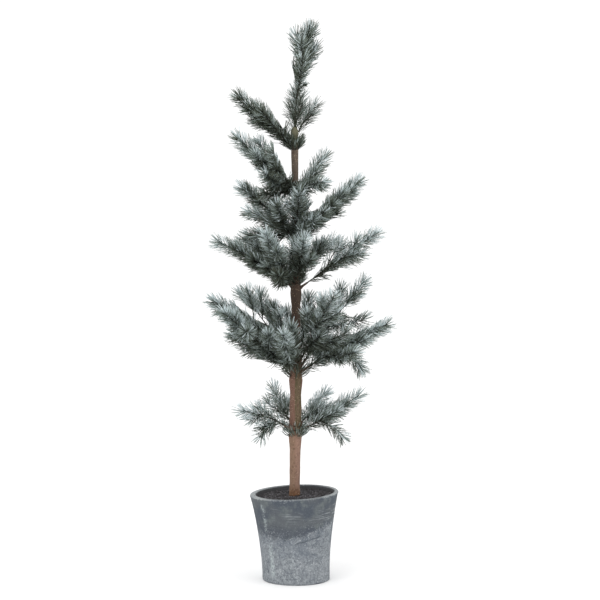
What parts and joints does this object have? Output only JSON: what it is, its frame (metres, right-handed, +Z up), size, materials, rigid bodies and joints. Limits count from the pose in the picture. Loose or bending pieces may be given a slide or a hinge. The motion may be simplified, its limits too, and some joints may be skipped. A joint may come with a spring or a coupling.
{
  "type": "artificial potted fir",
  "caption": "Artificial fir with whorls of frosted needle boughs on a slim trunk, standing in a round weathered pot.",
  "frame": {"origin": "centre of the pot's flat underside, where it stands on the floor", "axes": "+Z up along the trunk, +X to the right seen from the front, -Y towards the front"},
  "size_m": [0.3021, 0.2464, 0.9017],
  "materials": {
    "pot": "weathered grey cement skin with chalky patches and fine scratches",
    "fill": "dark rough crumbly fill",
    "bark": "matte wrapped bark, reddish brown with pale specks",
    "needles": "matte plastic needles, dark green with a pale blue-grey frost"
  },
  "bodies": {
    "root": {"bough_whorl1_back_left": "bark", "bough_whorl1_back_right": "bark", "bough_whorl1_left": "bark", "bough_whorl1_right": "bark", "bough_whorl2_back": "bark", "bough_whorl2_back_left": "bark", "bough_whorl2_back_right": "bark", "bough_whorl2_front": "bark", "bough_whorl2_front_left": "bark", "bough_whorl2_front_right": "bark", "bough_whorl2_left": "bark", "bough_whorl2_right": "bark", "bough_whorl3_back_left": "bark", "bough_whorl3_back_right": "bark", "bough_whorl3_front": "bark", "bough_whorl3_front_left": "bark", "bough_whorl3_left": "bark", "bough_whorl3_right": "bark", "bough_whorl4_left": "bark", "bough_whorl4_right": "bark", "needles_leader": "needles", "needles_whorl1_back_left": "needles", "needles_whorl1_back_right": "needles", "needles_whorl1_left": "needles", "needles_whorl1_right": "needles", "needles_whorl2_back": "needles", "needles_whorl2_back_left": "needles", "needles_whorl2_back_right": "needles", "needles_whorl2_front": "needles", "needles_whorl2_front_left": "needles", "needles_whorl2_front_right": "needles", "needles_whorl2_left": "needles", "needles_whorl2_right": "needles", "needles_whorl3_back_left": "needles", "needles_whorl3_back_right": "needles", "needles_whorl3_front": "needles", "needles_whorl3_front_left": "needles", "needles_whorl3_left": "needles", "needles_whorl3_right": "needles", "needles_whorl4_back": "needles", "needles_whorl4_back_left": "needles", "needles_whorl4_front": "needles", "needles_whorl4_front_right": "needles", "needles_whorl4_left": "needles", "needles_whorl4_right": "needles", "needles_whorl5_back_left": "needles", "needles_whorl5_back_right": "needles", "needles_whorl5_front_left": "needles", "needles_whorl5_front_right": "needles", "needles_whorl5_left": "needles", "needles_whorl6_back": "needles", "needles_whorl6_left": "needles", "needles_whorl6_right": "needles", "pot": "pot", "pot_fill": "fill", "trunk": "bark"}
  },
  "joints": []
}
